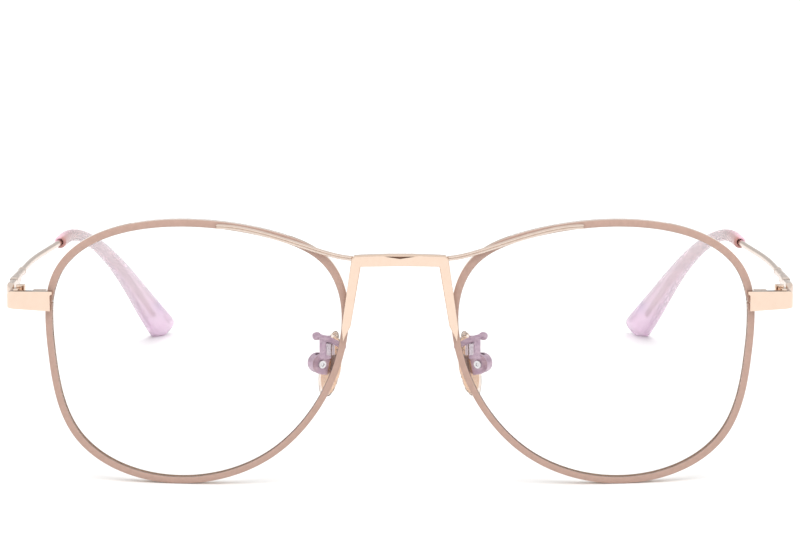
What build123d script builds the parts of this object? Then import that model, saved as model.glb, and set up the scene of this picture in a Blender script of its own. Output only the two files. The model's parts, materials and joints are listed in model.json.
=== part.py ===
from build123d import *

import os
from math import cos, radians, sin

# Metal-rimmed eyeglasses with both temples open, standing as they do on a table.
# +X is the wearer's left, +Y runs back to the ears, +Z is up. The origin is the middle of the
# bridge's front face. The wearer's left side is modelled and then mirrored. Millimetres.

# The front is curved like its lenses: rim and lens faces lie on spheres about one centre.
CURVE_RADIUS = 130.0
CURVE_X = 28.0
CURVE_Z = -16.7

# Rim centre line as seen from the front, about the middle of the eye.
EYE_X = 36.8
EYE_Z = -17.3
EYE_HALF_WIDTH = 27.1
EYE_HALF_HEIGHT = 23.9
EYE_SHAPE = [(26.8, 0.1), (26.2, 12.3), (-14.8, 21.3), (-23.0, 17.2), (-13.9, -18.4), (22.7, -15.5)]
EYE_START_SLOPE = (0.1, 1.05)

RIM_WIDTH = 1.3
RIM_DEPTH = 1.9
RIM_LIP = 0.45
GROOVE_DEPTH = 0.4
LENS_GAP = 0.02
RIM_SPLIT = 0.2
FRONT_DEPTH = 12.0

BRIDGE_DEPTH = 1.3
BRIDGE_HALF_HEIGHT = 1.1
BRIDGE_BEVEL = 0.2
BRIDGE_LEG = [(8.2, 0.85), (8.7, 0.3), (10.5, -12.4), (10.3, -14.9), (8.87, -12.0), (7.05, -1.2)]
CHEVRON = [(-2.6, 0.7), (2.6, 0.7), (0, 0.3)]
CHEVRON_DEPTH = 0.15
BROW_WIRE_RADIUS = 0.25
BROW_LINE = [(8.3, 0.7, 0.05), (12.9, 1.15, 1.05), (17.9, 1.45, 2.55), (24.7, 1.57, 4.63), (33.0, 1.83, 5.88)]

# Lug, rim lock and temple hinge, at the outer side of the rim.
LUG_TOP = -6.4
LUG_BOTTOM = -10.05
LUG_END_X = 63.1
LUG_STEP = 0.4
LUG_THICKNESS = 1.2
LUG_FRONT_Y = 4.0
LUG_CORNER_Y = 5.4
LUG_BEND_RADIUS = 2.4
LUG_CORNER_RADIUS = 1.3
LUG_OUTER_X = 71.75
LUG_INNER_X = 70.25
LUG_BACK_Y = 9.2
SPLIT_Z = -8.2
LOCK_HEIGHT = 1.6
LOCK_WIDTH = 2.4
LOCK_DEPTH = 1.5
LOCK_Y = 6.7
LOCK_SCREW_X = 65.6
LOCK_SCREW_Y = 6.65
LOCK_SCREW_RADIUS = 0.4
LOCK_HEAD_RADIUS = 0.65
LOCK_HEAD_HEIGHT = 0.4

HINGE_X = 69.3
HINGE_Y = 8.4
HINGE_BOTTOM = -8.9
KNUCKLE_HEIGHT = 0.85
KNUCKLE_RADIUS = 0.85
KNUCKLE_GAP = 0.05
LEAF_THICKNESS = 0.8
LEAF_LENGTH = 1.8
HINGE_SCREW_RADIUS = 0.45
HINGE_HEAD_RADIUS = 0.85
HEAD_HEIGHT = 0.35
SCREW_CLEARANCE = 0.05
HEAD_GAP = 0.02
SLOT_WIDTH = 0.2
SLOT_DEPTH = 0.2

# Temple: a flat butt, a stout length, a thin wire and a core inside the plastic tip.
TEMPLE_BUTT_Y = 9.3
TEMPLE_INNER_X = 70.65
TEMPLE_OUTER_X = 72.0
BUTT_TOP = -5.8
BUTT_BOTTOM = -8.6
BUTT_TAPER_Y = 13.5
BUTT_END_Y = 18.0
STOUT_START_Y = 14.0
STOUT_RADIUS = 0.75
STEP_RING_RADIUS = 0.8
STEP_RING_WIDTH = 1.0
WIRE_RADIUS = 0.6
CORE_RADIUS = 0.5
TEMPLE_LINE = [
    (71.4, 12.0, -6.4),
    (71.5, 26.0, -6.2),
    (70.8, 43.0, -6.2),
    (69.1, 60.0, -6.5),
    (67.5, 80.0, -8.3),
    (64.5, 96.5, -14.4),
    (61.0, 116.0, -24.9),
    (56.3, 142.5, -40.8),
]
STEP_Y = 24.5
COLLAR_Y = 60.0
CORE_END_Y = 133.0
FLOOR_Z = -41.95

# Temple tip sections: (y, half thickness, half width, twist in degrees).
TIP_SECTIONS = [
    (COLLAR_Y, 1.2, 1.2, 0),
    (78.0, 1.25, 1.25, 0),
    (92.0, 1.35, 1.45, 15),
    (105.0, 1.5, 1.8, 30),
    (118.0, 1.6, 2.3, 40),
    (130.0, 1.65, 2.9, 45),
    (142.5, 1.65, 3.3, 50),
]

# Nose pad, set about the screw that it rocks on.
PAD_SCREW = (14.8, 7.2, -20.3)
PAD_SPLAY = 28.0
PAD_TILT = 12.0
PAD_LEAN = 8.0
PAD_BOX_RADIUS = 1.85
PAD_BOX_FRONT = 1.45
PAD_BOX_HALF_WIDTH = 1.1
PAD_SLOT_BACK = 1.1
PAD_TAB_THICKNESS = 0.8
PAD_TAB_RADIUS = 0.95
PAD_SCREW_RADIUS = 0.45
PAD_HEAD_RADIUS = 0.75
PAD_RECESS_RADIUS = 0.3
PAD_BACK = 1.75
PAD_THICKNESS = 1.8
PAD_INSERT_DEPTH = 0.4
PAD_HALF_HEIGHT = 6.3
PAD_HALF_WIDTH = 3.4
PAD_ROUNDING = 0.8
MOUNT_HALF_HEIGHT = 5.0
MOUNT_HALF_WIDTH = 2.4
MOUNT_THICKNESS = 0.5
NECK_Y = 5.95
NECK_THICKNESS = 0.65
SHELF_LINE = [(10.7, 3.7, -16.3), (12.9, 4.8, -15.4), (15.2, 6.0, -15.0)]
SHELF_WIDTH = 0.9
LOBE_RADIUS = 0.8
SHELF_THICKNESS = 0.5
SHELF_TILT = 35.0
FOOT_RADIUS = 0.6
FOOT_FRONT_Y = 2.85
FOOT_DEPTH = 1.1
BARREL_RADIUS = 0.8
BARREL_LENGTH = 2.2

os.makedirs("parts", exist_ok=True)


def eye_plug(grow):
    """A straight plug through the eye, grown all round from the rim's centre line."""
    wide = 1 + grow / EYE_HALF_WIDTH
    high = 1 + grow / EYE_HALF_HEIGHT
    points = [(EYE_X + wide * x, EYE_Z + high * z) for x, z in EYE_SHAPE]
    with BuildPart() as plug:
        with BuildSketch(Plane.XZ):
            with BuildLine():
                Spline(points + points[:1], tangents=[EYE_START_SLOPE] * 2, tangent_scalars=[1, 1])
            make_face()
        extrude(amount=-FRONT_DEPTH)
    return plug.part


def curved_slab(front, back):
    """The space between two depths below the front curve."""
    with BuildPart() as slab:
        with Locations((CURVE_X, CURVE_RADIUS, CURVE_Z)):
            Sphere(CURVE_RADIUS - front)
            Sphere(CURVE_RADIUS - back, mode=Mode.SUBTRACT)
    return slab.part


def eye_disc(grow, front, back):
    """A curved disc of the eye shape between two depths."""
    plug = eye_plug(grow)
    slab = curved_slab(front, back)
    with BuildPart() as disc:
        add(plug)
        add(slab, mode=Mode.INTERSECT)
    return disc.part


def slotted_screw(seat, radius, length, head_radius, head_height):
    """A screw with its head on the seat plane and its shank along the plane's normal."""
    with BuildPart() as screw:
        with BuildSketch(seat):
            Circle(radius)
        extrude(amount=length)
        with BuildSketch(seat):
            Circle(head_radius)
        extrude(amount=-head_height)
        with BuildSketch(seat.offset(-head_height)):
            Rectangle(SLOT_WIDTH, 4 * head_radius)
        extrude(amount=SLOT_DEPTH, mode=Mode.SUBTRACT)
    return screw.part


def save(piece, name):
    """Label a piece and write it as one file."""
    piece.label = name
    export_step(piece, f"parts/{name}.step")


left_side = {}

# Rim: a grooved wire ring, split at the outer side where the lock holds it shut.
rim_outside = eye_disc(RIM_WIDTH / 2, 0, RIM_DEPTH)
rim_inside = eye_plug(-RIM_WIDTH / 2)
lens_groove = eye_disc(GROOVE_DEPTH - RIM_WIDTH / 2, RIM_LIP, RIM_DEPTH - RIM_LIP)
with BuildPart() as rim:
    add(rim_outside)
    add(rim_inside, mode=Mode.SUBTRACT)
    add(lens_groove, mode=Mode.SUBTRACT)
    with Locations((EYE_X + EYE_HALF_WIDTH, FRONT_DEPTH / 2, SPLIT_Z)):
        Box(4 * RIM_WIDTH, FRONT_DEPTH, RIM_SPLIT, mode=Mode.SUBTRACT)
left_side["rim"] = rim.part

# Lens: a curved plate whose edge sits in the rim's groove.
lens_grow = GROOVE_DEPTH - LENS_GAP - RIM_WIDTH / 2
lens_plate = eye_disc(lens_grow, RIM_LIP + LENS_GAP, RIM_DEPTH - RIM_LIP - LENS_GAP)
with BuildPart() as lens:
    add(lens_plate)
left_side["lens"] = lens.part

# Brow wire: two fine wires side by side along the top of the rim, running in to the bridge.
with BuildPart() as brow_wire:
    with BuildLine() as brow_path:
        Spline(BROW_LINE)
    start = Plane(brow_path.line @ 0, x_dir=(0, 1, 0), z_dir=brow_path.line % 0)
    with BuildSketch(start):
        with Locations((0, 0.8 * BROW_WIRE_RADIUS), (0, -0.8 * BROW_WIRE_RADIUS)):
            Circle(BROW_WIRE_RADIUS)
    sweep()
    add(rim.part, mode=Mode.SUBTRACT)

# Bridge: a flat bar with two legs that run down on to the rims, and a chevron cut in its front.
other_leg = [(-x, z) for x, z in reversed(BRIDGE_LEG)]
with BuildPart() as bridge:
    with BuildSketch(Plane.XZ):
        with BuildLine():
            Polyline(BRIDGE_LEG)
            ThreePointArc(BRIDGE_LEG[-1], (0, -BRIDGE_HALF_HEIGHT), other_leg[0])
            Polyline(other_leg)
            ThreePointArc(other_leg[-1], (0, BRIDGE_HALF_HEIGHT), BRIDGE_LEG[0])
        make_face()
    extrude(amount=-BRIDGE_DEPTH)
    chamfer(bridge.faces().sort_by(Axis.Y)[0].edges(), length=BRIDGE_BEVEL)
    with BuildSketch(Plane.XZ):
        Polygon(CHEVRON, align=None)
    extrude(amount=-CHEVRON_DEPTH, mode=Mode.SUBTRACT)
    add(rim.part, mode=Mode.SUBTRACT)
    add(rim.part.mirror(Plane.YZ), mode=Mode.SUBTRACT)

with BuildPart() as left_brow_wire:
    add(brow_wire.part)
    add(bridge.part, mode=Mode.SUBTRACT)
left_side["brow_wire"] = left_brow_wire.part.solids().sort_by(SortBy.VOLUME)[-1]

# Lug: a strip soldered over the rim's outer side that bends back to the hinge.
with BuildPart() as lug:
    with BuildSketch(Plane.XY.offset(LUG_BOTTOM)) as lug_plan:
        Polygon(
            (LUG_END_X, LUG_FRONT_Y),
            (LUG_OUTER_X, LUG_CORNER_Y),
            (LUG_OUTER_X, LUG_BACK_Y),
            (LUG_INNER_X, LUG_BACK_Y),
            (LUG_INNER_X, LUG_CORNER_Y + LUG_THICKNESS),
            (LUG_END_X, LUG_FRONT_Y + LUG_THICKNESS),
            align=None,
        )
        bend = Vector(LUG_OUTER_X, LUG_CORNER_Y, LUG_BOTTOM)
        fillet(lug_plan.vertices().sort_by_distance(bend)[0], radius=LUG_BEND_RADIUS)
    extrude(amount=LUG_TOP - LUG_BOTTOM)
    # Its inner end is stepped, it narrows a little towards the hinge and its lower corner is round.
    with BuildSketch(Plane.XZ) as lug_face:
        Polygon(
            (LUG_END_X, LUG_TOP),
            (LUG_OUTER_X, LUG_TOP - 0.2),
            (LUG_OUTER_X, LUG_BOTTOM + 0.3),
            (LUG_END_X + LUG_STEP, LUG_BOTTOM),
            (LUG_END_X + LUG_STEP, LUG_TOP - 0.8),
            (LUG_END_X, LUG_TOP - 0.5),
            align=None,
        )
        corner = Vector(LUG_OUTER_X, 0, LUG_BOTTOM)
        fillet(lug_face.vertices().sort_by_distance(corner)[0], radius=LUG_CORNER_RADIUS)
    extrude(amount=-FRONT_DEPTH, mode=Mode.INTERSECT)
    add(rim.part, mode=Mode.SUBTRACT)
left_side["lug"] = lug.part

# Rim lock: two blocks, one soldered to each end of the split rim, drawn together by a screw.
# The upper block's bore is blind and the lower block's runs through.
lock_reach = (RIM_SPLIT + LOCK_HEIGHT) / 2
with BuildPart() as upper_lock_block:
    with Locations((LOCK_SCREW_X, LOCK_Y, SPLIT_Z + lock_reach)):
        Box(LOCK_WIDTH, LOCK_DEPTH, LOCK_HEIGHT)
    with Locations((LOCK_SCREW_X, LOCK_SCREW_Y, SPLIT_Z)):
        Cylinder(LOCK_SCREW_RADIUS + SCREW_CLEARANCE, 2 * LOCK_HEIGHT - 0.2, mode=Mode.SUBTRACT)
    add(rim.part, mode=Mode.SUBTRACT)
    add(lug.part, mode=Mode.SUBTRACT)
left_side["upper_lock_block"] = upper_lock_block.part

with BuildPart() as lower_lock_block:
    with Locations((LOCK_SCREW_X, LOCK_Y, SPLIT_Z - lock_reach)):
        Box(LOCK_WIDTH, LOCK_DEPTH, LOCK_HEIGHT)
    with Locations((LOCK_SCREW_X, LOCK_SCREW_Y, SPLIT_Z)):
        Cylinder(LOCK_SCREW_RADIUS + SCREW_CLEARANCE, 4 * LOCK_HEIGHT, mode=Mode.SUBTRACT)
    add(rim.part, mode=Mode.SUBTRACT)
    add(lug.part, mode=Mode.SUBTRACT)
left_side["lower_lock_block"] = lower_lock_block.part

lock_seat = Plane((LOCK_SCREW_X, LOCK_SCREW_Y, SPLIT_Z - RIM_SPLIT / 2 - LOCK_HEIGHT - HEAD_GAP))
left_side["lock_screw"] = slotted_screw(
    lock_seat, LOCK_SCREW_RADIUS, 2 * LOCK_HEIGHT, LOCK_HEAD_RADIUS, LOCK_HEAD_HEIGHT
)

# Temple hinge: two knuckles on the lug, one on the temple, and a screw through all three.
knuckle_bottoms = [HINGE_BOTTOM + i * (KNUCKLE_HEIGHT + KNUCKLE_GAP) for i in range(3)]
hinge_top = knuckle_bottoms[2] + KNUCKLE_HEIGHT
leaf_back_y = HINGE_Y - KNUCKLE_RADIUS - 2 * KNUCKLE_GAP
with BuildPart() as front_hinge_leaf:
    for bottom in (knuckle_bottoms[0], knuckle_bottoms[2]):
        with BuildSketch(Plane.XY.offset(bottom)):
            with Locations((HINGE_X, HINGE_Y)):
                Circle(KNUCKLE_RADIUS)
                Rectangle(LUG_INNER_X - HINGE_X, 2.0, align=(Align.MIN, Align.MAX))
                Circle(HINGE_SCREW_RADIUS + SCREW_CLEARANCE, mode=Mode.SUBTRACT)
        extrude(amount=KNUCKLE_HEIGHT)
    with BuildSketch(Plane.XY.offset(HINGE_BOTTOM)):
        with Locations((LUG_INNER_X, leaf_back_y)):
            Rectangle(LEAF_THICKNESS, LEAF_LENGTH, align=(Align.MAX, Align.MAX))
    extrude(amount=hinge_top - HINGE_BOTTOM)
    add(lug.part, mode=Mode.SUBTRACT)
left_side["front_hinge_leaf"] = front_hinge_leaf.part

hinge_seat = Plane((HINGE_X, HINGE_Y, hinge_top + HEAD_GAP), x_dir=(0, 1, 0), z_dir=(0, 0, -1))
left_side["hinge_screw"] = slotted_screw(
    hinge_seat, HINGE_SCREW_RADIUS, hinge_top - HINGE_BOTTOM, HINGE_HEAD_RADIUS, HEAD_HEIGHT
)

with BuildPart() as temple_hinge_leaf:
    with BuildSketch(Plane.XY.offset(knuckle_bottoms[1])):
        with Locations((HINGE_X, HINGE_Y)):
            Circle(KNUCKLE_RADIUS)
            Rectangle(KNUCKLE_RADIUS, 1.2, align=Align.MIN)
            Circle(HINGE_SCREW_RADIUS + SCREW_CLEARANCE, mode=Mode.SUBTRACT)
        with Locations((TEMPLE_INNER_X, TEMPLE_BUTT_Y + KNUCKLE_GAP)):
            Rectangle(LEAF_THICKNESS + 0.2, 2 * LEAF_LENGTH, align=(Align.MAX, Align.MIN))
    extrude(amount=KNUCKLE_HEIGHT)
left_side["temple_hinge_leaf"] = temple_hinge_leaf.part

# Temple: one line from the hinge to the tip, swept in lengths of different thickness.
with BuildLine() as temple_line:
    Spline(TEMPLE_LINE)
spine = temple_line.edge()


def spine_at(y):
    """The share of the temple line that lies in front of y."""
    low = 0.0
    high = 1.0
    for _ in range(40):
        middle = (low + high) / 2
        if (spine @ middle).Y < y:
            low = middle
        else:
            high = middle
    return low


def spine_plane(y):
    """A plane across the temple line at y, with its x sideways and its y up."""
    place = spine_at(y)
    along = spine % place
    sideways = (Vector(1, 0, 0) - along * along.X).normalized()
    return Plane(spine @ place, x_dir=sideways, z_dir=-along)


with BuildPart() as temple:
    with BuildSketch(Plane.YZ.offset(TEMPLE_INNER_X)):
        with BuildLine():
            Polyline(
                (TEMPLE_BUTT_Y, BUTT_BOTTOM),
                (BUTT_TAPER_Y, BUTT_BOTTOM),
                (BUTT_END_Y, BUTT_BOTTOM + 1.4),
                (BUTT_END_Y, BUTT_TOP - 0.1),
                (BUTT_TAPER_Y, BUTT_TOP),
                (TEMPLE_BUTT_Y, BUTT_TOP),
                close=True,
            )
        make_face()
    extrude(amount=TEMPLE_OUTER_X - TEMPLE_INNER_X)
    for front_y, back_y, radius in (
        (STOUT_START_Y, STEP_Y, STOUT_RADIUS),
        (STEP_Y, COLLAR_Y, WIRE_RADIUS),
        (COLLAR_Y, CORE_END_Y, CORE_RADIUS),
    ):
        with BuildSketch(spine_plane(front_y)):
            Circle(radius)
        sweep(path=spine.trim(spine_at(front_y), spine_at(back_y)))
    with BuildSketch(spine_plane(STEP_Y)):
        Circle(STEP_RING_RADIUS)
    extrude(amount=STEP_RING_WIDTH / 2, both=True)
left_side["temple"] = temple.part

# Temple tip: a plastic sleeve that widens and twists into a paddle behind the ear. Its end is
# cut flat to stand on.
with BuildPart() as temple_tip:
    for y, half_thickness, half_width, twist in TIP_SECTIONS:
        with BuildSketch(spine_plane(y)):
            Ellipse(half_thickness, half_width, rotation=twist)
    loft()
    with BuildSketch(spine_plane(COLLAR_Y)):
        Circle(CORE_RADIUS + SCREW_CLEARANCE)
    sweep(path=spine.trim(spine_at(COLLAR_Y), spine_at(CORE_END_Y + 0.5)), mode=Mode.SUBTRACT)
    with BuildSketch(Plane.XY.offset(FLOOR_Z)):
        with Locations((TEMPLE_LINE[-1][0], TEMPLE_LINE[-1][1])):
            Rectangle(20, 40)
    extrude(amount=-10, mode=Mode.SUBTRACT)
left_side["temple_tip"] = temple_tip.part

# Nose pad. Its plane has x towards the nose, y up the pad and z back along the screw.
splay = radians(PAD_SPLAY)
tilt = radians(PAD_TILT)
to_nose = (-cos(tilt) * cos(splay), cos(tilt) * sin(splay), -sin(tilt))
pad_plane = Plane(PAD_SCREW, x_dir=to_nose, z_dir=(sin(splay), cos(splay), 0))

with BuildPart() as pad_arm:
    # Box that the pad's tab sits in, open towards the nose.
    with BuildSketch(pad_plane):
        Circle(PAD_BOX_RADIUS)
        Rectangle(PAD_BOX_FRONT, 2 * PAD_BOX_RADIUS, align=(Align.MIN, Align.CENTER))
        with Locations((PAD_BOX_FRONT, 0)):
            Rectangle(1.0, 2 * PAD_BOX_RADIUS, align=(Align.MIN, Align.CENTER), mode=Mode.SUBTRACT)
        Circle(PAD_SCREW_RADIUS + SCREW_CLEARANCE, mode=Mode.SUBTRACT)
    extrude(amount=PAD_BOX_HALF_WIDTH, both=True)
    with BuildSketch(pad_plane):
        with Locations((-PAD_SLOT_BACK, 0)):
            Rectangle(4.0, 4.0, align=(Align.MIN, Align.CENTER))
    extrude(amount=PAD_TAB_THICKNESS / 2 + SCREW_CLEARANCE, both=True, mode=Mode.SUBTRACT)
    # Neck plate, up from the box.
    with BuildSketch(Plane.XZ.offset(-NECK_Y)):
        with Locations((13.65, -17.1)):
            Rectangle(2.1, 4.2)
    extrude(amount=-NECK_THICKNESS)
    # Shelf, from its foot behind the rim to a round lobe at the outer side.
    with BuildLine() as shelf_path:
        Spline(SHELF_LINE)
    shelf_start = Plane(shelf_path.line @ 0, x_dir=(0, 0, 1), z_dir=shelf_path.line % 0)
    with BuildSketch(shelf_start):
        Rectangle(SHELF_THICKNESS, SHELF_WIDTH, rotation=SHELF_TILT)
    sweep(path=shelf_path.line)
    shelf_slope = radians(SHELF_TILT)
    with BuildSketch(Plane(SHELF_LINE[-1], z_dir=(0, -sin(shelf_slope), cos(shelf_slope)))):
        Circle(LOBE_RADIUS)
    extrude(amount=SHELF_THICKNESS / 2, both=True)
    # Foot, soldered to the back of the rim.
    with BuildSketch(Plane.XZ.offset(-FOOT_FRONT_Y)):
        with Locations((10.35, -16.3)):
            Circle(FOOT_RADIUS)
    extrude(amount=-FOOT_DEPTH)
    add(rim.part, mode=Mode.SUBTRACT)
left_side["pad_arm"] = pad_arm.part

with BuildPart() as pad_arm_barrel:
    with BuildSketch(Plane((12.7, 5.3, -18.3))):
        Circle(BARREL_RADIUS)
    extrude(amount=BARREL_LENGTH)
    add(pad_arm.part, mode=Mode.SUBTRACT)
left_side["pad_arm_barrel"] = pad_arm_barrel.part

# The pad's back face, with x up the pad, y across it and z towards the nose.
pad_centre = pad_plane.from_local_coords((PAD_BACK, 0, 0))
pad_back = Plane(pad_centre, x_dir=pad_plane.y_dir, z_dir=pad_plane.x_dir).rotated((0, 0, -PAD_LEAN))

with BuildPart() as pad_mount:
    with BuildSketch(pad_plane):
        Circle(PAD_TAB_RADIUS)
        Rectangle(PAD_BACK + 0.5, 2 * PAD_TAB_RADIUS, align=(Align.MIN, Align.CENTER))
        Circle(PAD_SCREW_RADIUS + SCREW_CLEARANCE, mode=Mode.SUBTRACT)
    extrude(amount=PAD_TAB_THICKNESS / 2, both=True)
    with BuildSketch(pad_back.offset(PAD_INSERT_DEPTH)):
        Ellipse(MOUNT_HALF_HEIGHT, MOUNT_HALF_WIDTH)
    extrude(amount=MOUNT_THICKNESS)
left_side["pad_mount"] = pad_mount.part

# The pad's pin has a ring-shaped head with a round recess.
pad_seat = pad_plane.offset(-PAD_BOX_HALF_WIDTH - HEAD_GAP)
with BuildPart() as pad_screw:
    with BuildSketch(pad_seat):
        Circle(PAD_SCREW_RADIUS)
    extrude(amount=2 * PAD_BOX_HALF_WIDTH + 0.1)
    with BuildSketch(pad_seat):
        Circle(PAD_HEAD_RADIUS)
    extrude(amount=-HEAD_HEIGHT)
    with BuildSketch(pad_seat.offset(-HEAD_HEIGHT)):
        Circle(PAD_RECESS_RADIUS)
    extrude(amount=SLOT_DEPTH, mode=Mode.SUBTRACT)
left_side["pad_screw"] = pad_screw.part

with BuildPart() as nose_pad:
    with BuildSketch(pad_back):
        Ellipse(PAD_HALF_HEIGHT, PAD_HALF_WIDTH)
    extrude(amount=PAD_THICKNESS)
    fillet(nose_pad.faces().sort_by(Axis(PAD_SCREW, to_nose))[-1].edges(), radius=PAD_ROUNDING)
    add(pad_mount.part, mode=Mode.SUBTRACT)
left_side["nose_pad"] = nose_pad.part

save(bridge.part, "bridge")
for name, piece in left_side.items():
    save(piece, f"left_{name}")
    with BuildPart() as mirrored:
        mirror(piece, about=Plane.YZ)
    save(mirrored.part, f"right_{name}")
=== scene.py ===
"""The looks of a pair of metal-rimmed eyeglasses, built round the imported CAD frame."""

import json
import math

import bmesh
import bpy
import numpy as np
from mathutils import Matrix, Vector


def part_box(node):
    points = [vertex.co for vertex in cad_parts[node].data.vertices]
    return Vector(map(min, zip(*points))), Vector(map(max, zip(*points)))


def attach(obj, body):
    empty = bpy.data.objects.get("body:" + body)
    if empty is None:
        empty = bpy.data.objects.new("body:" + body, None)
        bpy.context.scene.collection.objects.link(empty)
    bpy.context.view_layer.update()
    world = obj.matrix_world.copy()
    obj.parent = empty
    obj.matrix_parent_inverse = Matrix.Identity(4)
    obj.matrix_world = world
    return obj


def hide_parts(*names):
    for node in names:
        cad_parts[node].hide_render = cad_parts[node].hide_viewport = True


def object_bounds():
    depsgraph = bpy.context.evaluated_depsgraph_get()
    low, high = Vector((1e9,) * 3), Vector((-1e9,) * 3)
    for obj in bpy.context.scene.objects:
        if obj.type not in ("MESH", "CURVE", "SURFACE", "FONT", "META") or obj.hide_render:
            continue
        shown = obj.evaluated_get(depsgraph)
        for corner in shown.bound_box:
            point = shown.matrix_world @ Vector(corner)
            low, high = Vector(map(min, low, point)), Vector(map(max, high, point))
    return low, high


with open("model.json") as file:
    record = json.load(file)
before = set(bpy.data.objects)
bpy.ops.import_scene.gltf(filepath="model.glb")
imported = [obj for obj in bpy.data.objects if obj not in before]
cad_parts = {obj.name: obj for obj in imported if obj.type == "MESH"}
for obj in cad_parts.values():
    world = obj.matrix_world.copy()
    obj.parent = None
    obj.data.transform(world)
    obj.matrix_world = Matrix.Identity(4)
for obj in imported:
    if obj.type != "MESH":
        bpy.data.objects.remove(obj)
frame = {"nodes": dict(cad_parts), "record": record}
cad_low, cad_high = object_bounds()

MM = 0.001
SIDES = ("left", "right")
TURN = 2 * math.pi

# Rim section.
RIM_LIP = 0.45 * MM
RIM_GROOVE = 0.38 * MM
RIM_ROUND = 0.17 * MM
RIM_CROWN = 0.05 * MM
RIM_STEPS = 360

BROW_RADIUS = 0.25 * MM
FLOOR_GAP = 0.02 * MM

# Where the painted shade on a lug's top turns darkest, and where the edge's painted shade gives way to the
# back's.
LUG_SHADE_X = (0.0664, 0.0672)
LUG_BACK_SHADE_Y = (0.0059, 0.0063)

# The box of the chevron's floor in the bridge's face, where shade is painted.
CHEVRON_HALF_WIDTH = 2.6 * MM
CHEVRON_Y = (0.05 * MM, 0.2 * MM)
CHEVRON_Z = (0.2 * MM, 0.75 * MM)

# Rebuilding the small metal parts.
WELD = 1e-7
FLAT_DEGREES = 1
SHARP_DEGREES = 35
SMOOTH_DEGREES = 60

# Temple wire and tip.
BUTT_END_Y = 18 * MM
STEP_Y = 24.5 * MM
STEP_HALF_WIDTH = 0.5 * MM
TIP_END_TRIM = 1.2 * MM

# Nose pad.
PAD_THICKNESS = 1.8 * MM


# ---------------------------------------------------------------- reading the CAD frame


def cad_mesh(node):
    """A CAD node's vertices and triangles."""
    data = frame["nodes"][node].data
    data.calc_loop_triangles()
    points = np.empty(len(data.vertices) * 3, np.float32)
    data.vertices.foreach_get("co", points)
    corners = np.empty(len(data.loop_triangles) * 3, np.int32)
    data.loop_triangles.foreach_get("vertices", corners)
    return points.reshape(-1, 3).astype(float), corners.reshape(-1, 3)


def section(mesh, origin, normal):
    """The points where a plane cuts a CAD node's triangles."""
    points, triangles = mesh
    height = (points - origin) @ np.asarray(normal, float)
    found = []
    for a, b in ((0, 1), (1, 2), (2, 0)):
        p, q = triangles[:, a], triangles[:, b]
        crossing = (height[p] > 0) != (height[q] > 0)
        p, q = p[crossing], q[crossing]
        share = height[p] / (height[p] - height[q])
        found.append(points[p] + share[:, None] * (points[q] - points[p]))
    return np.concatenate(found)


def middle(points):
    """The middle of the box round some points."""
    return (points.min(0) + points.max(0)) / 2


def polar_outline(points, origin, across, up, angles, hole):
    """How far an outline lies from origin at each angle in the plane of across and up."""
    flat = points - origin
    x, y = flat @ across, flat @ up
    radius = np.hypot(x, y)
    keep = radius > hole
    angle = np.arctan2(y, x)[keep] % TURN
    order = np.argsort(angle)
    return np.interp(angles % TURN, angle[order], radius[keep][order], period=TURN)


def fit_sphere(points):
    """Centre and radius of the sphere through some points."""
    system = np.hstack([2 * points, np.ones((len(points), 1))])
    answer = np.linalg.lstsq(system, (points**2).sum(1), rcond=None)[0]
    centre = answer[:3]
    return centre, math.sqrt(answer[3] + centre @ centre)


# ---------------------------------------------------------------- mesh building


def piece(name, points, faces, materials, zones=None, marks=None):
    """A smooth mesh object. zones gives each face's material and marks adds point attributes."""
    mesh = bpy.data.meshes.new(name)
    mesh.from_pydata([tuple(p) for p in points], [], faces)
    for material in materials:
        mesh.materials.append(material)
    if zones is not None:
        mesh.polygons.foreach_set("material_index", zones)
    for mark, values in (marks or {}).items():
        layer = mesh.attributes.new(mark, "FLOAT", "POINT")
        layer.data.foreach_set("value", np.asarray(values, np.float32).ravel())
    mesh.polygons.foreach_set("use_smooth", [True] * len(mesh.polygons))
    mesh.update()
    obj = bpy.data.objects.new(name, mesh)
    bpy.context.scene.collection.objects.link(obj)
    return obj


def loft_faces(rings, around, closed_ends=True):
    """Faces of a skin over rings of points, with its two ends closed by a fan round an extra point."""
    faces = []
    for i in range(rings - 1):
        for j in range(around):
            k = (j + 1) % around
            faces.append((i * around + j, i * around + k, (i + 1) * around + k, (i + 1) * around + j))
    if closed_ends:
        first, last = rings * around, rings * around + 1
        for j in range(around):
            k = (j + 1) % around
            faces.append((k, j, first))
            faces.append(((rings - 1) * around + j, (rings - 1) * around + k, last))
    return faces


def loft(name, rings, materials):
    """A closed skin over an array of rings of points."""
    count, around = rings.shape[:2]
    ends = np.stack([rings[0].mean(0), rings[-1].mean(0)])
    points = np.concatenate([rings.reshape(-1, 3), ends])
    return piece(name, points, loft_faces(count, around), materials)


def flip_x(points):
    """The same points on the other side."""
    return points * np.array([-1.0, 1.0, 1.0])


def make_outward(obj):
    """Turns all faces outwards."""
    bm = bmesh.new()
    bm.from_mesh(obj.data)
    bmesh.ops.recalc_face_normals(bm, faces=bm.faces)
    bm.to_mesh(obj.data)
    bm.free()


def sharpen(mesh, degrees):
    """Keeps edges that turn more than an angle looking sharp."""
    bm = bmesh.new()
    bm.from_mesh(mesh)
    for edge in bm.edges:
        edge.smooth = not edge.is_manifold or edge.calc_face_angle(0) < math.radians(degrees)
    for face in bm.faces:
        face.smooth = True
    bm.to_mesh(mesh)
    bm.free()


def weigh_normals(mesh):
    """Points each vertex normal along its large faces, so that flats stay flat beside rounded edges."""
    normals = np.zeros((len(mesh.vertices), 3))
    for face in mesh.polygons:
        normals[list(face.vertices)] += np.array(face.normal) * face.area
    lengths = np.linalg.norm(normals, axis=1)
    normals[lengths > 0] /= lengths[lengths > 0][:, None]
    mesh.normals_split_custom_set_from_vertices(normals.tolist())


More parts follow.
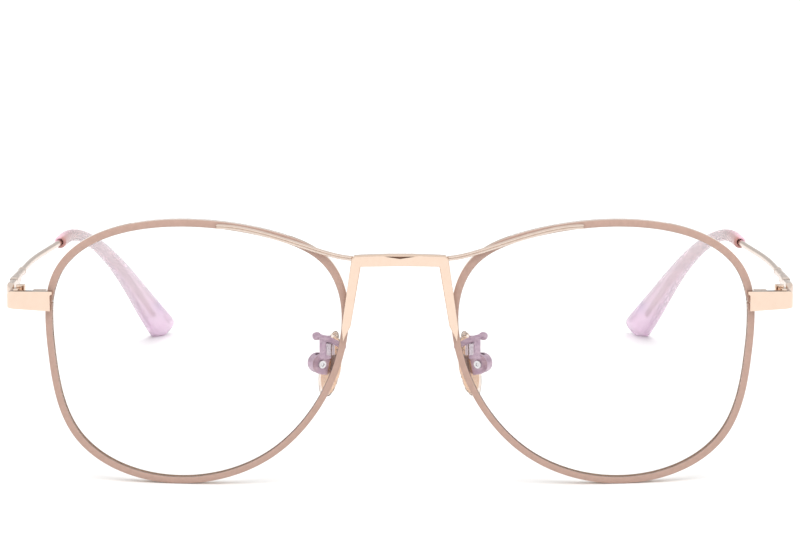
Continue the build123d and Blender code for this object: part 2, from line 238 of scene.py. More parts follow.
def frames_along(centres):
    """Along, sideways and upward directions at each point of a line that runs to the back."""
    along = np.gradient(centres, axis=0)
    along /= np.linalg.norm(along, axis=1)[:, None]
    sideways = np.array([1.0, 0, 0]) - along * along[:, :1]
    sideways /= np.linalg.norm(sideways, axis=1)[:, None]
    return along, sideways, np.cross(sideways, along)


def finish_piece(obj, body, slot, *nodes):
    """Puts a piece on its body in place of CAD nodes."""
    make_outward(obj)
    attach(obj, body)
    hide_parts(*nodes)


def softened(node, material, width):
    """A CAD node's shape rebuilt as whole faces with its sharp edges rounded over."""
    points, triangles = cad_mesh(node)
    bm = bmesh.new()
    for p in points:
        bm.verts.new(p)
    bm.verts.ensure_lookup_table()
    for t in triangles:
        try:
            bm.faces.new([bm.verts[i] for i in t])
        except ValueError:
            pass
    bmesh.ops.remove_doubles(bm, verts=bm.verts, dist=WELD)
    bmesh.ops.dissolve_degenerate(bm, dist=WELD, edges=bm.edges)
    bmesh.ops.dissolve_limit(bm, angle_limit=math.radians(FLAT_DEGREES), verts=bm.verts, edges=bm.edges)
    turn = math.radians(SHARP_DEGREES)
    sharp = [e for e in bm.edges if e.is_manifold and e.calc_face_angle(0) > turn]
    bmesh.ops.bevel(bm, geom=sharp, offset=width, segments=3, profile=0.6, affect="EDGES",
                    clamp_overlap=True)
    bmesh.ops.triangulate(bm, faces=[f for f in bm.faces if len(f.verts) > 4])
    mesh = bpy.data.meshes.new("visual_" + node)
    bm.to_mesh(mesh)
    bm.free()
    mesh.materials.append(material)
    sharpen(mesh, SMOOTH_DEGREES)
    weigh_normals(mesh)
    obj = bpy.data.objects.new("visual_" + node, mesh)
    bpy.context.scene.collection.objects.link(obj)
    owner = next(b for b, nodes in frame["record"]["behaviour"]["bodies"].items() if node in nodes)
    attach(obj, owner)
    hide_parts(node)
    return obj


# ---------------------------------------------------------------- materials


def new_material(name):
    """A material with an empty node tree, and a helper that adds linked nodes to it."""
    material = bpy.data.materials.new(name)
    material.use_nodes = True
    tree = material.node_tree
    tree.nodes.clear()
    output = tree.nodes.new("ShaderNodeOutputMaterial")

    def add(kind, settings=None, **inputs):
        node = tree.nodes.new("ShaderNode" + kind)
        for key, value in (settings or {}).items():
            setattr(node, key, value)
        for key, value in inputs.items():
            socket = node.inputs[int(key[1:])] if key[0] == "i" and key[1:].isdigit() else None
            socket = socket or node.inputs[key.replace("_", " ")]
            if isinstance(value, bpy.types.NodeSocket):
                tree.links.new(value, socket)
            else:
                socket.default_value = value
        return node

    return material, add, output, tree


def mix_color(add, share, a, b):
    """A colour between a and b."""
    node = add("Mix", {"data_type": "RGBA"})
    for index, value in ((0, share), (6, a), (7, b)):
        socket = node.inputs[index]
        if isinstance(value, bpy.types.NodeSocket):
            node.id_data.links.new(value, socket)
        else:
            socket.default_value = value
    return node.outputs[2]


def rgb(r, g, b):
    return (r, g, b, 1.0)


def noise(add, scale, detail=3.0, stretch=None):
    """Noise in the object's own space. scale is in features per metre."""
    place = add("TexCoord").outputs["Object"]
    if stretch:
        place = add("Mapping", Vector=place, Scale=stretch).outputs[0]
    return add("TexNoise", Vector=place, Scale=scale, Detail=detail).outputs[0]


def ranged(add, value, low, high, from_low=0.3, from_high=0.7):
    """A value spread over a range."""
    node = add("MapRange", i0=value)
    for index, number in ((1, from_low), (2, from_high), (3, low), (4, high)):
        node.inputs[index].default_value = number
    return node.outputs[0]


def bumped(add, height, strength, distance):
    return add("Bump", Height=height, Strength=strength, Distance=distance).outputs[0]


def polished_metal(name, color, dark, roughness):
    """Plated metal with faint draw marks and patches that are a little less bright."""
    material, add, output, tree = new_material(name)
    patches = noise(add, 900, 4)
    marks = noise(add, 6000, 2, stretch=(1.0, 0.15, 1.0))
    tint = mix_color(add, ranged(add, patches, 0.0, 1.0), rgb(*dark), rgb(*color))
    rough = ranged(add, marks, roughness * 0.75, roughness * 1.4)
    shader = add("BsdfPrincipled", Base_Color=tint, Metallic=1.0, Roughness=rough,
                 Normal=bumped(add, marks, 0.08, 0.02 * MM))
    tree.links.new(shader.outputs[0], output.inputs[0])
    return material


def lug_top_painted_shade():
    """Painted shade on a lug's top: the plating darker along its top edge, and darkest at its outer end."""
    material, add, output, tree = new_material("lug_top_painted_shade")
    place = add("SeparateXYZ", Vector=add("TexCoord").outputs["Object"])
    outward = add("Math", {"operation": "ABSOLUTE"}, i0=place.outputs[0]).outputs[0]
    patches = noise(add, 900, 4)
    end_shade_share = ranged(add, outward, 0.0, 1.0, *LUG_SHADE_X)
    # Painted shade: brown along the top's front edge, near-black at its outer end, and greyer with patches
    # towards the back.
    edge = mix_color(add, end_shade_share, rgb(0.33, 0.26, 0.21), rgb(0.05, 0.03, 0.02))
    back = mix_color(add, patches, rgb(0.42, 0.36, 0.34), rgb(0.48, 0.41, 0.38))
    tint = mix_color(add, ranged(add, place.outputs[1], 0.0, 1.0, *LUG_BACK_SHADE_Y), edge, back)
    shader = add("BsdfPrincipled", Base_Color=tint, Metallic=1.0, Roughness=0.2)
    tree.links.new(shader.outputs[0], output.inputs[0])
    return material


def rim_enamel():
    """Fired enamel: a faint mottle under a clear gloss with a slight orange peel."""
    material, add, output, tree = new_material("rim_enamel")
    mottle = noise(add, 1400, 5)
    peel = noise(add, 2600, 2)
    tint = mix_color(add, ranged(add, mottle, 0.0, 1.0), rgb(0.405, 0.262, 0.210), rgb(0.450, 0.292, 0.236))
    shader = add("BsdfPrincipled", Base_Color=tint, Roughness=0.42, Specular_IOR_Level=0.4,
                 Coat_Weight=0.35, Coat_Roughness=0.1, Normal=bumped(add, peel, 0.12, 0.02 * MM))
    tree.links.new(shader.outputs[0], output.inputs[0])
    return material


def plum_plate():
    """Tinted plating on a bead-blasted part."""
    material, add, output, tree = new_material("plum_plate")
    grain = noise(add, 9000, 3)
    patches = noise(add, 1200, 3)
    tint = mix_color(add, ranged(add, patches, 0.0, 1.0), rgb(0.40, 0.27, 0.36), rgb(0.56, 0.42, 0.50))
    shader = add("BsdfPrincipled", Base_Color=tint, Metallic=0.75, Roughness=ranged(add, grain, 0.24, 0.4),
                 Normal=bumped(add, grain, 0.25, 0.02 * MM))
    tree.links.new(shader.outputs[0], output.inputs[0])
    return material


def clear_lens():
    """Thin coated lens: clear, with a faint green-violet bloom at a slant."""
    material, add, output, tree = new_material("lens_clear")
    slant = add("LayerWeight", Blend=0.25).outputs["Facing"]
    bloom = mix_color(add, noise(add, 60, 1), rgb(0.75, 1.0, 0.85), rgb(0.9, 0.8, 1.0))
    through = add("BsdfTransparent", Color=rgb(0.995, 0.997, 0.995)).outputs[0]
    gloss = add("BsdfGlossy", Color=bloom, Roughness=0.02).outputs[0]
    share = ranged(add, slant, 0.006, 0.16, 0.0, 1.0)
    mixed = add("MixShader", i0=share, i1=through, i2=gloss)
    tree.links.new(mixed.outputs[0], output.inputs[0])
    return material


def silicone():
    """Clear soft silicone, faintly warm."""
    material, add, output, tree = new_material("pad_silicone")
    haze = noise(add, 2500, 3)
    shader = add("BsdfPrincipled", Base_Color=rgb(0.96, 0.84, 0.76), Transmission_Weight=0.8, IOR=1.41,
                 Roughness=ranged(add, haze, 0.1, 0.2), Normal=bumped(add, haze, 0.1, 0.03 * MM))
    tree.links.new(shader.outputs[0], output.inputs[0])
    return material


def tip_plastic():
    """Translucent pearl: brown at the collar, pink, then lilac, with swirls, a stripe and a painted pale
    sheen towards its edges as seen from the camera.
    """
    material, add, output, tree = new_material("tip_plastic")
    along = add("Attribute", {"attribute_name": "along"}).outputs["Fac"]
    ramp = add("ValToRGB", i0=along)
    stops = [
        (0.0, (0.44, 0.22, 0.20)), (0.035, (0.50, 0.30, 0.30)), (0.10, (0.62, 0.45, 0.46)),
        (0.22, (0.76, 0.60, 0.62)), (0.40, (0.86, 0.72, 0.79)), (0.75, (0.86, 0.70, 0.82)),
        (1.0, (0.89, 0.66, 0.84)),
    ]
    ramp.color_ramp.elements[0].position, ramp.color_ramp.elements[0].color = stops[0][0], rgb(*stops[0][1])
    ramp.color_ramp.elements[1].position, ramp.color_ramp.elements[1].color = stops[-1][0], rgb(*stops[-1][1])
    for place, color in stops[1:-1]:
        ramp.color_ramp.elements.new(place).color = rgb(*color)
    swirl = noise(add, 160, 4, stretch=(1.0, 0.3, 1.0))
    pearl = mix_color(add, ranged(add, swirl, 0.0, 0.35), ramp.outputs[0], rgb(0.88, 0.80, 0.95))
    pearl = mix_color(add, ranged(add, along, 0.0, 1.0, 0.08, 0.2), ramp.outputs[0], pearl)
    outer = add("Attribute", {"attribute_name": "outer"}).outputs["Fac"]

    def striped(base, side, color):
        """A colour with a pink stripe down the outer side, which fades towards the tip's end."""
        share = add("Math", {"operation": "MULTIPLY"}, i0=side, i1=ranged(add, along, 1.0, 0.2, 0.72, 0.9))
        return mix_color(add, share.outputs[0], base, color)

    pearl = striped(pearl, ranged(add, outer, 0.0, 0.75, 0.05, 0.75), rgb(0.80, 0.50, 0.62))
    spot = add("Attribute", {"attribute_name": "spot"}).outputs["Fac"]
    pearl = mix_color(add, ranged(add, spot, 0.0, 0.7, 0.0, 1.0), pearl, rgb(0.52, 0.40, 0.66))
    # Painted sheen: the colour turns near-white where the surface slants away from the camera, past the
    # collar.
    slant = add("LayerWeight", Blend=0.35).outputs["Facing"]
    clear = add("Math", {"operation": "MULTIPLY"}, i0=ranged(add, slant, 0.0, 0.75, 0.35, 1.0),
                i1=ranged(add, along, 0.0, 1.0, 0.1, 0.35)).outputs[0]
    pearl = mix_color(add, clear, pearl, rgb(0.96, 0.93, 0.97))
    pearl = striped(pearl, ranged(add, outer, 0.0, 0.8, -0.1, 0.7), rgb(0.84, 0.52, 0.62))
    fine = noise(add, 3000, 2)
    shader = add("BsdfPrincipled", Base_Color=pearl, IOR=1.35,
                 Transmission_Weight=ranged(add, along, 0.0, 0.55, 0.02, 0.12),
                 Roughness=ranged(add, fine, 0.16, 0.26), Normal=bumped(add, fine, 0.06, 0.02 * MM))
    tree.links.new(shader.outputs[0], output.inputs[0])
    return material


def floor_paper():
    """Matt white paper."""
    material, add, output, tree = new_material("floor_paper")
    grain = noise(add, 400, 4)
    tint = mix_color(add, grain, rgb(0.86, 0.86, 0.86), rgb(0.88, 0.88, 0.88))
    shader = add("BsdfPrincipled", Base_Color=tint, Roughness=1.0, Specular_IOR_Level=0.0)
    tree.links.new(shader.outputs[0], output.inputs[0])
    return material


ENAMEL = rim_enamel()
ROSE_GOLD = polished_metal("rose_gold", (0.80, 0.625, 0.505), (0.78, 0.60, 0.48), 0.1)
WIRE_GOLD = polished_metal("gold_wire", (0.74, 0.62, 0.54), (0.70, 0.57, 0.49), 0.16)
STEEL = polished_metal("screw_steel", (0.72, 0.70, 0.72), (0.62, 0.60, 0.62), 0.16)
BARREL_STEEL = polished_metal("barrel_steel", (0.53, 0.46, 0.50), (0.46, 0.39, 0.43), 0.22)
INSERT_GOLD = polished_metal("pad_insert", (0.85, 0.62, 0.44), (0.80, 0.55, 0.38), 0.2)
# Painted shade: the rose gold at about half brightness, for the rims' inner walls.
WALL_GOLD_PAINTED_SHADE = polished_metal("rim_wall", (0.42, 0.33, 0.29), (0.38, 0.29, 0.255), 0.16)
# Painted shade for the lugs' tops.
LUG_TOP_PAINTED_SHADE = lug_top_painted_shade()
# Painted shade for the floor of the bridge's chevron.
NOTCH_PAINTED_SHADE = polished_metal("notch_painted_shade", (0.20, 0.115, 0.08), (0.15, 0.08, 0.055), 0.3)
PLUM = plum_plate()
LENS = clear_lens()
SILICONE = silicone()
PEARL = tip_plastic()


# ---------------------------------------------------------------- rims and lenses


def rim_walls(node):
    """A rim's inner and outer walls, read off at even angles: radii and front and back depths."""
    mesh = cad_mesh(node)
    low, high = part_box(node)
    centre = np.array([(low.x + high.x) / 2, 0.0, (low.z + high.z) / 2])
    angles = np.arange(2 * RIM_STEPS) * TURN / (2 * RIM_STEPS)
    rows = []
    for angle in angles:
        outward = np.array([math.cos(angle), 0.0, math.sin(angle)])
        cut = section(mesh, centre, (-outward[2], 0.0, outward[0]))
        radius = (cut - centre) @ outward
        cut, radius = cut[radius > 0], radius[radius > 0]
        if not len(cut):
            rows.append([np.nan] * 6)
            continue
        inner, outer = radius.min(), radius.max()
        depth_in = cut[radius < inner + 0.03 * MM][:, 1]
        depth_out = cut[radius > outer - 0.03 * MM][:, 1]
        rows.append([inner, outer, depth_in.min(), depth_in.max(), depth_out.min(), depth_out.max()])
    rows = np.array(rows)
    for column in rows.T:
        lost = np.isnan(column)
        column[lost] = np.interp(angles[lost], angles[~lost], column[~lost], period=TURN)
    waves = np.fft.rfft(rows, axis=0)
    waves[40:] = 0
    return centre, angles, np.fft.irfft(waves, len(angles), axis=0)


def arc_points(across, back, radius, start, steps):
    """Points on a quarter circle, which starts at an angle measured from the front."""
    turns = [math.radians(start + 90 * i / steps) for i in range(1, steps + 1)]
    return [(across + radius * math.sin(t), back - radius * math.cos(t)) for t in turns]


def rim_section(width, depth):
    """The rim's section as (across, back) from its inner front corner, and which sides are enamel."""
    face = [(RIM_ROUND + (width - 2 * RIM_ROUND) * i / 6, RIM_CROWN * (i / 3 - 1) ** 2) for i in range(7)]
    near, far = RIM_ROUND, width - RIM_ROUND
    outline = list(face)
    outline += arc_points(far, RIM_CROWN + RIM_ROUND, RIM_ROUND, 0, 4)
    enamel_end = len(outline) - 2
    outline += arc_points(far, depth - RIM_ROUND, RIM_ROUND, 90, 3)
    outline += arc_points(near, depth - RIM_ROUND, RIM_ROUND, 180, 3)
    outline += [(0, depth - RIM_LIP), (RIM_GROOVE, depth - RIM_LIP), (RIM_GROOVE, RIM_LIP), (0, RIM_LIP)]
    outline += [(0, RIM_CROWN + RIM_ROUND)]
    start = len(outline)
    outline += arc_points(near, RIM_CROWN + RIM_ROUND, RIM_ROUND, 270, 4)[:-1]
    enamel = [i < enamel_end or i > start for i in range(len(outline))]
    return outline, enamel


def rim_rings(node, split):
    """Rings of the rim's section round the eye, from one side of its split to the other."""
    centre, table_angles, table = rim_walls(node)
    width = float((table[:, 1] - table[:, 0]).mean())
    depth = float((table[:, 5] - table[:, 4]).mean())
    outline, enamel = rim_section(width, depth)
    start, end = split
    angles = np.linspace(start, end, RIM_STEPS)
    columns = [np.interp(angles, table_angles, column, period=TURN) for column in table.T]
    inner, outer, front_in, back_in, front_out, back_out = columns
    rings = []
    for across, back in outline:
        u, v = across / width, back / depth
        radius = inner + u * (outer - inner)
        near = front_in + v * (back_in - front_in)
        far = front_out + v * (back_out - front_out)
        rings.append(np.stack([centre[0] + radius * np.cos(angles), near + u * (far - near),
                               centre[2] + radius * np.sin(angles)], axis=1))
    inner_wall = [point[0] < RIM_ROUND for point in outline]
    return np.stack(rings, axis=1), enamel, inner_wall, (centre, angles, columns)


def build_rim(side, rings, enamel, inner):
    """The grooved rim wire, with painted shade on its inner walls."""
    count, around = rings.shape[:2]
    faces = loft_faces(count, around, closed_ends=False)
    faces.append(tuple(reversed(range(around))))
    faces.append(tuple((count - 1) * around + j for j in range(around)))
    # Inner walls take the half-bright rose gold as painted shade; outer walls take the rose gold.
    ring_zones = [0 if enamel[j] else 2 if inner[j] else 1 for j in range(around)]
    zones = ring_zones * (count - 1) + [1, 1]
    rim = piece(f"visual_{side}_rim", rings.reshape(-1, 3), faces, [ENAMEL, ROSE_GOLD, WALL_GOLD_PAINTED_SHADE], zones)
    finish_piece(rim, "front", "rim_enamel", f"{side}_rim")
    sharpen(rim.data, 50)


def build_lens(side, walls):
    """The lens: two spherical faces with a rounded edge in the rim's groove."""
    points, triangles = cad_mesh(f"{side}_lens")
    a, b, c = (points[triangles[:, i]] for i in range(3))
    normal = np.cross(b - a, c - a)
    normal /= np.linalg.norm(normal, axis=1)[:, None] + 1e-20
    spheres = []
    for facing in (-1, 1):
        faces = normal[:, 1] * facing > 0.8
        spheres.append(fit_sphere(points[np.unique(triangles[faces])]))
    centre, angles, columns = walls
    edge = columns[0][::3] + RIM_GROOVE - 0.03 * MM
    angles = angles[::3]
    rounding = 0.08 * MM
    rings = []
    inset = [(1 - (1 - i / 14) ** 1.4) for i in range(1, 14)]
    for sphere, order in zip(spheres, (1, -1)):
        ball_centre, ball_radius = sphere
        rows = []
        for share in inset + [1.0]:
            radius = share * (edge - rounding)
            x = centre[0] + radius * np.cos(angles)
            z = centre[2] + radius * np.sin(angles)
            off_axis = (x - ball_centre[0]) ** 2 + (z - ball_centre[2]) ** 2
            y = ball_centre[1] - np.sqrt(ball_radius**2 - off_axis)
            rows.append(np.stack([x, y, z], axis=1))
        x = centre[0] + edge * np.cos(angles)
        z = centre[2] + edge * np.sin(angles)
        rows.append(np.stack([x, rows[-1][:, 1] + order * rounding, z], axis=1))
        rings += rows[::order]
    lens = loft(f"visual_{side}_lens", np.stack(rings), [LENS])
    finish_piece(lens, "front", "lens_clear", f"{side}_lens")


def build_fronts():
    """Both rims and lenses, from the left side's CAD and its mirror image."""
    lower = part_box("left_lower_lock_block")[1].z
    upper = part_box("left_upper_lock_block")[0].z
    rim_low, rim_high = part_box("left_rim")
    middle_x, middle_z = (rim_low.x + rim_high.x) / 2, (rim_low.z + rim_high.z) / 2
    reach = rim_high.x - middle_x
    split = (math.atan2(upper - middle_z, reach), TURN + math.atan2(lower - middle_z, reach))
    rings, enamel, inner, walls = rim_rings("left_rim", split)
    build_rim("left", rings, enamel, inner)
    build_rim("right", flip_x(rings), enamel, inner)
    centre, angles, columns = walls
    build_lens("left", walls)
    mirrored = (centre * np.array([-1.0, 1.0, 1.0]), math.pi - angles, columns)
    build_lens("right", mirrored)


# ---------------------------------------------------------------- brow wires


def tube(centres, up, radius, around=16):
    """Rings of a round wire whose line lies level across up."""
    along = np.gradient(centres, axis=0)
    along /= np.linalg.norm(along, axis=1)[:, None]
    side = np.cross(along, up)
    side /= np.linalg.norm(side, axis=1)[:, None]
    rise = np.cross(side, along)
    angles = np.arange(around) * TURN / around
    circle = np.cos(angles)[None, :, None] * side[:, None] + np.sin(angles)[None, :, None] * rise[:, None]
    return centres[:, None] + circle * np.reshape(radius, (-1, 1, 1))


def brow_rings():
    """The two wires of the brow wire, one above the other, with rounded ends."""
    mesh = cad_mesh("left_brow_wire")
    low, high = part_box("left_brow_wire")
    stations = np.linspace(low.x + 0.2 * MM, high.x - 0.3 * MM, 50)
    rows = []
    for x in stations:
        cut = section(mesh, (x, 0, 0), (1, 0, 0))
        rows.append((x, cut[:, 1].min() + BROW_RADIUS, (cut[:, 2].min() + cut[:, 2].max()) / 2))
    rows = np.array(rows)
    xs = np.linspace(low.x, high.x, 90)
    line = np.stack([xs] + [np.polyval(np.polyfit(rows[:, 0], rows[:, i], 5), xs) for i in (1, 2)], axis=1)
    along = np.gradient(line, axis=0)
    along /= np.linalg.norm(along, axis=1)[:, None]
    up = np.cross(along, np.array([0, 1.0, 0]))
    up /= np.linalg.norm(up, axis=1)[:, None]
    up *= np.sign(up[:, 2:3])
    radius = np.full(len(xs), BROW_RADIUS)
    radius[0] = radius[-1] = 0.7 * BROW_RADIUS
    return [tube(line + shift * 0.85 * BROW_RADIUS * up, np.array([0, 1.0, 0]), radius) for shift in (1, -1)]


def build_brow_wires():
    upper, lower = brow_rings()
    count, around = upper.shape[:2]
    for side, turn in zip(SIDES, (lambda p: p, flip_x)):
        points, faces = [], []
        for rings in (upper, lower):
            start = len(points)
            points += list(turn(rings).reshape(-1, 3))
            points += [turn(rings[0].mean(0)), turn(rings[-1].mean(0))]
            faces += [tuple(i + start for i in face) for face in loft_faces(count, around)]
        wire = piece(f"visual_{side}_brow_wire", points, faces, [WIRE_GOLD])
        finish_piece(wire, "front", "gold_wire", f"{side}_brow_wire")


# ---------------------------------------------------------------- temples and their tips


def superellipse(angles, half_width, half_height, power):
    """Radii of a superellipse: power 2 is an ellipse, and higher powers are squarer."""
    c, s = np.abs(np.cos(angles)), np.abs(np.sin(angles))
    return ((c / half_width) ** power + (s / half_height) ** power) ** (-1 / power)


def build_temples():
    """The temple wires: a flat butt that runs into a stout wire, a step ring, a thin wire and a core."""
    mesh = cad_mesh("left_temple")
    low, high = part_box("left_temple")
    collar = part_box("left_temple_tip")[0].y
    around = 32
    angles = np.arange(around) * TURN / around
    step, ring = STEP_Y, STEP_HALF_WIDTH
    stations = [low.y + 0.01 * MM, low.y + 0.08 * MM, low.y + 0.25 * MM]
    stations += list(np.arange(low.y + 0.6 * MM, BUTT_END_Y + 2 * MM, 0.4 * MM))
    stations += list(np.linspace(BUTT_END_Y + 2.5 * MM, step - ring - 0.12 * MM, 12))
    stations += [step - ring - 0.02 * MM, step - ring + 0.05 * MM, step - 0.3 * ring, step + 0.3 * ring,
                 step + ring - 0.05 * MM, step + ring + 0.02 * MM, step + ring + 0.12 * MM]
    stations += list(np.linspace(step + 1.5 * MM, collar - 0.5 * MM, 40))
    stations += list(np.linspace(collar + 0.3 * MM, high.y - 0.9 * MM, 90))
    stations = np.array(stations)
    sizes, centres = [], []
    for y in stations:
        cut = section(mesh, (0, y, 0), (0, 1, 0))
        centres.append(middle(cut))
        sizes.append((cut.max(0) - cut.min(0)) / 2)
    centres, sizes = np.array(centres), np.array(sizes)
    wire = stations > BUTT_END_Y
    for i in (0, 2):
        fit = np.polynomial.Polynomial.fit(stations[wire], centres[wire, i], 9)
        centres[wire, i] = fit(stations[wire])
    along, sideways, upward = frames_along(centres)
    rings = []
    for k, y in enumerate(stations):
        square = min(max((BUTT_END_Y + 1.2 * MM - y) / (4.5 * MM), 0), 1)
        power = 2 + 5 * square**1.5
        half_width = sizes[k, 0]
        half_height = half_width if y > BUTT_END_Y else sizes[k, 2]
        shrink = {0: 0.9, 1: 0.97}.get(k, 1.0)
        radius = shrink * superellipse(angles, half_width, half_height, power)
        rings.append(centres[k] + radius[:, None] * (
            np.cos(angles)[:, None] * sideways[k] + np.sin(angles)[:, None] * upward[k]))
    end = centres[-1] + along[-1] * 0.7 * MM
    rings.append(end + 0.6 * (rings[-1] - centres[-1]))
    rings = np.array(rings)
    for side, turned in zip(SIDES, (rings, flip_x(rings))):
        temple = loft(f"visual_{side}_temple", turned, [WIRE_GOLD])
        finish_piece(temple, f"{side}_temple_arm", "gold_wire", f"{side}_temple")
        sharpen(temple.data, SMOOTH_DEGREES)


def soft_floor(z, floor, blend):
    """Heights kept above a floor, with a small round where they meet it."""
    rounded = floor + blend * np.exp(np.minimum((z - floor - blend) / blend, 0))
    return np.where(z > floor + blend, z, rounded)


def build_tips():
    """The temple tips, skinned over sections of the CAD tip, with a bored collar and a rounded end."""
    wire, skin = cad_mesh("left_temple"), cad_mesh("left_temple_tip")
    low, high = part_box("left_temple_tip")
    core_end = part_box("left_temple")[1].y
    line_y = np.linspace(low.y + 0.5 * MM, core_end - MM, 80)
    line = np.array([middle(section(wire, (0, y, 0), (0, 1, 0))) for y in line_y])
    fits = [np.polynomial.Polynomial.fit(line_y, line[:, i], 7) for i in (0, 2)]
    tail = line_y > line_y[-1] - 14 * MM
    tails = [np.polynomial.Polynomial.fit(line_y[tail], line[tail, i], 1) for i in (0, 2)]
    end_y = high.y - TIP_END_TRIM
    stations = np.concatenate([low.y + np.array([0.1, 0.25, 0.5, 1.0]) * MM,
                               np.linspace(low.y + 2 * MM, end_y - 1.2 * MM, 90),
                               end_y + np.array([-0.8, -0.5, -0.25, -0.08]) * MM])
    joined = line_y[-1] - 4 * MM
    centres = []
    for y in stations:
        if y < joined:
            x, z = (curve(y) for curve in fits)
        else:
            x, z = (slope(y) - slope(joined) + curve(joined) for curve, slope in zip(fits, tails))
        centres.append((x, y, z))
    centres = np.array(centres)
    along, sideways, upward = frames_along(centres)
    around = 64
    angles = np.arange(around) * TURN / around
    radii = []
    for k in range(len(stations)):
        cut = section(skin, centres[k], along[k])
        cut = cut[np.linalg.norm(cut - centres[k], axis=1) < 8 * MM]
        radii.append(polar_outline(cut, centres[k], sideways[k], upward[k], angles, 0.8 * MM))
    radii = np.array(radii)
    radii[0] *= 0.86
    radii[1] *= 0.95
    for back, share in ((1, 0.78), (2, 0.91), (3, 0.965), (4, 0.99)):
        radii[-back] *= share
    directions = (np.cos(angles)[None, :, None] * sideways[:, None]
                  + np.sin(angles)[None, :, None] * upward[:, None])
    rings = centres[:, None] + radii[:, :, None] * directions
    rings[:, :, 2] = soft_floor(rings[:, :, 2], low.z, 0.2 * MM)
    # The bore: in from the collar's face, round the wire.
    mouth = []
    for depth, radius in ((0.7, 0.52), (0.45, 0.56), (0.15, 0.7), (0.0, 0.84)):
        centre = centres[0] + along[0] * (depth - 0.02) * MM
        mouth.append(centre + radius * MM * directions[0])
    rings = np.concatenate([np.array(mouth), rings])
    share = (stations - stations[0]) / (stations[-1] - stations[0])
    lengths = np.concatenate([np.zeros(len(mouth)), share])
    along_marks = np.repeat(lengths[:, None], around, axis=1)
    outer_marks = np.repeat(np.cos(angles - 0.5)[None, :], len(lengths), axis=0)
    spot_side = np.clip(np.cos(angles - 2.0), 0, 1)
    spot_marks = np.exp(-(((along_marks - 0.86) / 0.035) ** 2)) * spot_side[None, :]
    marks = {"along": along_marks, "outer": outer_marks, "spot": spot_marks}
    for side, turned in zip(SIDES, (rings, flip_x(rings))):
        count = len(turned)
        points = np.concatenate([turned.reshape(-1, 3), turned[-1].mean(0)[None]])
        faces = loft_faces(count, around, closed_ends=False)
        end_row, last = (count - 1) * around, count * around
        faces += [(end_row + j, end_row + (j + 1) % around, last) for j in range(around)]
        values = {mark: np.append(table.ravel(), table[-1].mean()) for mark, table in marks.items()}
        tip = piece(f"visual_{side}_temple_tip", points, faces, [PEARL], marks=values)
        finish_piece(tip, f"{side}_temple_arm", "tip_plastic", f"{side}_temple_tip")


# ---------------------------------------------------------------- nose pads


def build_nose_pads():
    """Soft pads: a teardrop outline, a domed face towards the nose and a rolled edge."""
    for side in SIDES:
        node = f"{side}_nose_pad"
        mount = next(m for m in frame["record"]["mounts"] if m["name"] == f"{side}_nose_rest")
        face, normal = np.array(mount["pos_m"]), np.array(mount["axis"], float)
        mesh = cad_mesh(node)
        back = face - normal * PAD_THICKNESS
        level = section(mesh, face - normal * PAD_THICKNESS * 0.5, normal)
        centre = middle(level)
        spread = level - level.mean(0)
        up = np.linalg.svd(spread, full_matrices=False)[2][0]
        up = up * np.sign(up[2])
        across = np.cross(up, normal)
        around = 64
        angles = np.arange(around) * TURN / around
        origin = centre - normal * ((centre - back) @ normal)
        outline = polar_outline(level, centre, across, up, angles, 2.6 * MM)
        tall = np.sin(angles)
        outline = outline * (1 - 0.13 * np.clip(tall, 0, 1) * np.abs(np.cos(angles)) ** 0.5)
        sections = [(0.30, 0.10), (0.62, 0.06), (0.86, 0.03), (0.95, 0.06), (0.99, 0.16), (1.0, 0.3),
                    (0.99, 0.46), (0.955, 0.62), (0.89, 0.76), (0.78, 0.87), (0.62, 0.945),
                    (0.42, 0.985), (0.2, 1.0)]
        rings = []
        for share, depth in sections:
            flat = np.cos(angles)[:, None] * across + tall[:, None] * up
            rings.append(origin + normal * depth * PAD_THICKNESS + (share * outline)[:, None] * flat)
        pad = loft(f"visual_{node}", np.array(rings), [SILICONE])
        finish_piece(pad, f"{side}_pad", "pad_silicone", node)


# ---------------------------------------------------------------- everything else


def paint_chevron_shade(bridge):
    """Paints the shade of the chevron cut in the bridge's face: its floor takes a dark brown metal."""
    bridge.data.materials.append(NOTCH_PAINTED_SHADE)
    for face in bridge.data.polygons:
        x, y, z = face.center
        inside = CHEVRON_Y[0] < y < CHEVRON_Y[1] and CHEVRON_Z[0] < z < CHEVRON_Z[1]
        if abs(x) < CHEVRON_HALF_WIDTH and inside:
            face.material_index = 1


def paint_lug_top_shade(lug):
    """Gives a lug's upward faces the painted shade of its darker top."""
    lug.data.materials.append(LUG_TOP_PAINTED_SHADE)
    for face in lug.data.polygons:
        if face.normal.z > 0.5:
            face.material_index = 1


def build_hardware():
    """The bridge, lugs, hinges, locks, pad arms and screws, with their edges rounded over."""
    # The chevron in the bridge's face gets painted shade.
    paint_chevron_shade(softened("bridge", ROSE_GOLD, 0.07 * MM))
    for side in SIDES:
        for part, material, width in (
            ("lug", ROSE_GOLD, 0.16), ("upper_lock_block", ROSE_GOLD, 0.12),
            ("lower_lock_block", ROSE_GOLD, 0.12), ("lock_screw", STEEL, 0.05),
            ("front_hinge_leaf", ROSE_GOLD, 0.07), ("hinge_screw", ROSE_GOLD, 0.06),
            ("temple_hinge_leaf", ROSE_GOLD, 0.07), ("pad_arm", PLUM, 0.1),
            ("pad_arm_barrel", BARREL_STEEL, 0.1), ("pad_mount", INSERT_GOLD, 0.08),
            ("pad_screw", STEEL, 0.06),
        ):
            obj = softened(f"{side}_{part}", material, width * MM)
            if part == "lug":
                # Painted shade on the lug's top.
                paint_lug_top_shade(obj)


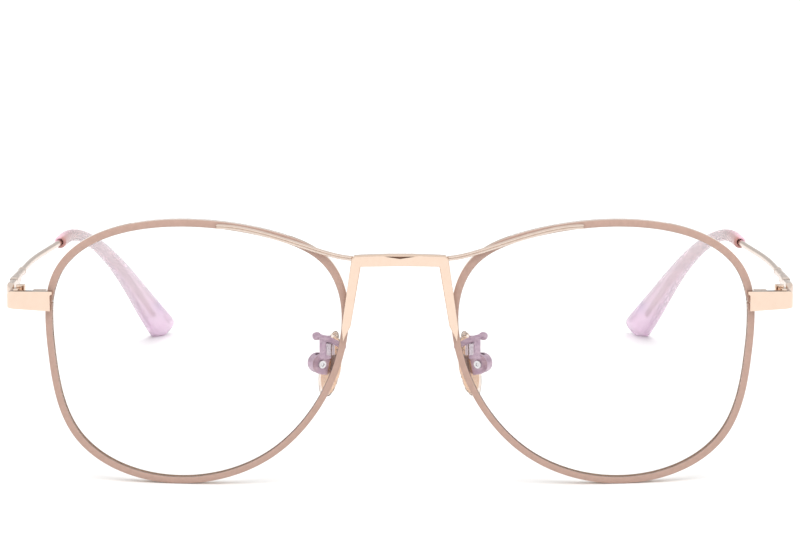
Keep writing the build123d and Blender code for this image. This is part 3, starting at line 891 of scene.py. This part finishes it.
def build_stage():
    """White paper floor, a white surround with a grey card behind, and a soft overhead sun."""
    size = 30.0
    floor = piece("floor", [(-size, -size, 0), (size, -size, 0), (size, size, 0), (-size, size, 0)],
                  [(0, 1, 2, 3)], [floor_paper()])
    floor.location.z = cad_low.z - FLOOR_GAP

    world = bpy.data.worlds.new("studio")
    bpy.context.scene.world = world
    world.use_nodes = True
    tree = world.node_tree
    tree.nodes.clear()
    place = tree.nodes.new("ShaderNodeTexCoord")
    split = tree.nodes.new("ShaderNodeSeparateXYZ")
    tree.links.new(place.outputs["Generated"], split.inputs[0])

    def band(value, low, high, soft):
        """1 where a direction's part lies between two values, with soft sides."""
        rise = tree.nodes.new("ShaderNodeMapRange")
        fall = tree.nodes.new("ShaderNodeMapRange")
        both = tree.nodes.new("ShaderNodeMath")
        both.operation = "MULTIPLY"
        for node, start, end in ((rise, low - soft, low + soft), (fall, high + soft, high - soft)):
            tree.links.new(value, node.inputs[0])
            node.inputs[1].default_value = start
            node.inputs[2].default_value = end
            tree.links.new(node.outputs[0], both.inputs[0 if node is rise else 1])
        return both.outputs[0]

    def times(a, b):
        node = tree.nodes.new("ShaderNodeMath")
        node.operation = "MULTIPLY"
        tree.links.new(a, node.inputs[0])
        tree.links.new(b, node.inputs[1])
        return node.outputs[0]

    def less(share):
        """1 less a share."""
        node = tree.nodes.new("ShaderNodeMath")
        node.operation = "SUBTRACT"
        node.inputs[0].default_value = 1.0
        tree.links.new(share, node.inputs[1])
        return node.outputs[0]

    def dimmed(share, value):
        """1 where share is 0, and value where it is 1."""
        node = tree.nodes.new("ShaderNodeMapRange")
        tree.links.new(share, node.inputs[0])
        node.inputs[3].default_value = 1.0
        node.inputs[4].default_value = value
        return node.outputs[0]

    card = times(band(split.outputs[2], 0.14, 0.30, 0.05), band(split.outputs[1], 0.55, 2.0, 0.15))
    path = tree.nodes.new("ShaderNodeLightPath")
    mirrored = times(path.outputs["Is Glossy Ray"], less(path.outputs["Is Transmission Ray"]))
    strength = dimmed(times(card, mirrored), 0.62)
    background = tree.nodes.new("ShaderNodeBackground")
    background.inputs[0].default_value = rgb(1, 1, 1)
    output = tree.nodes.new("ShaderNodeOutputWorld")
    tree.links.new(strength, background.inputs[1])
    tree.links.new(background.outputs[0], output.inputs[0])

    sun = bpy.data.lights.new("overhead", "SUN")
    sun.energy = 1.6
    sun.angle = math.radians(50)
    lamp = bpy.data.objects.new("overhead", sun)
    lamp.rotation_euler = (math.radians(24), math.radians(6), 0)
    lamp.visible_glossy = False
    bpy.context.scene.collection.objects.link(lamp)


def build_camera():
    """A long lens, straight ahead and a little above, as product shots are taken."""
    camera = bpy.data.cameras.new("camera")
    camera.lens = 112.4
    camera.sensor_width = 36.0
    obj = bpy.data.objects.new("camera", camera)
    obj.location = (0.0, -440.9 * MM, 75.0 * MM)
    obj.rotation_euler = (math.radians(90 - 9.79), 0, 0)
    camera.clip_start = 0.01
    camera.clip_end = 100
    bpy.context.scene.collection.objects.link(obj)
    bpy.context.scene.camera = obj


build_fronts()
build_brow_wires()
build_temples()
build_tips()
build_nose_pads()
build_hardware()
build_stage()
build_camera()
bpy.context.scene.view_settings.view_transform = "Standard"
